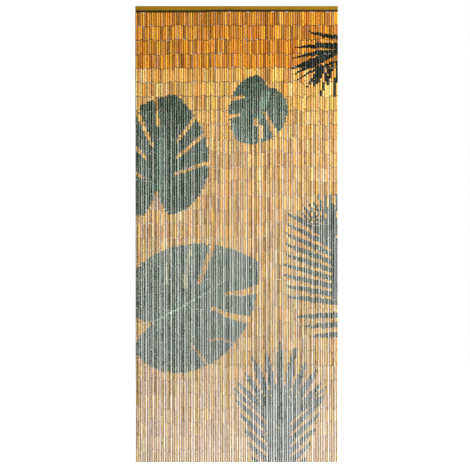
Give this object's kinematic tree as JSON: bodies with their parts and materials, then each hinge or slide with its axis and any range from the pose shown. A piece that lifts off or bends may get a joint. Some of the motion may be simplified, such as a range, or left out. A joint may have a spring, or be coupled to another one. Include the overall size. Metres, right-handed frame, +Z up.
{
  "type": "bamboo door curtain and rail",
  "caption": "Beaded door curtain of sawn bamboo tubes linked with wire into strands, painted with tropical leaves, hanging from a flat painted wood rail.",
  "frame": {"origin": "middle of the rail's flat top face, which goes against the head of the doorway", "axes": "+Z up, +X to the right along the rail as seen from the front, +Y to the back; the front faces -Y and the strands hang along -Z"},
  "size_m": [0.9, 0.014, 2.027],
  "materials": {
    "rail": "mustard paint, satin",
    "bamboo": "natural skin, satin, with painted leaves"
  },
  "bodies": {
    "root": {"rail": "rail", "strands": "bamboo"}
  },
  "joints": []
}
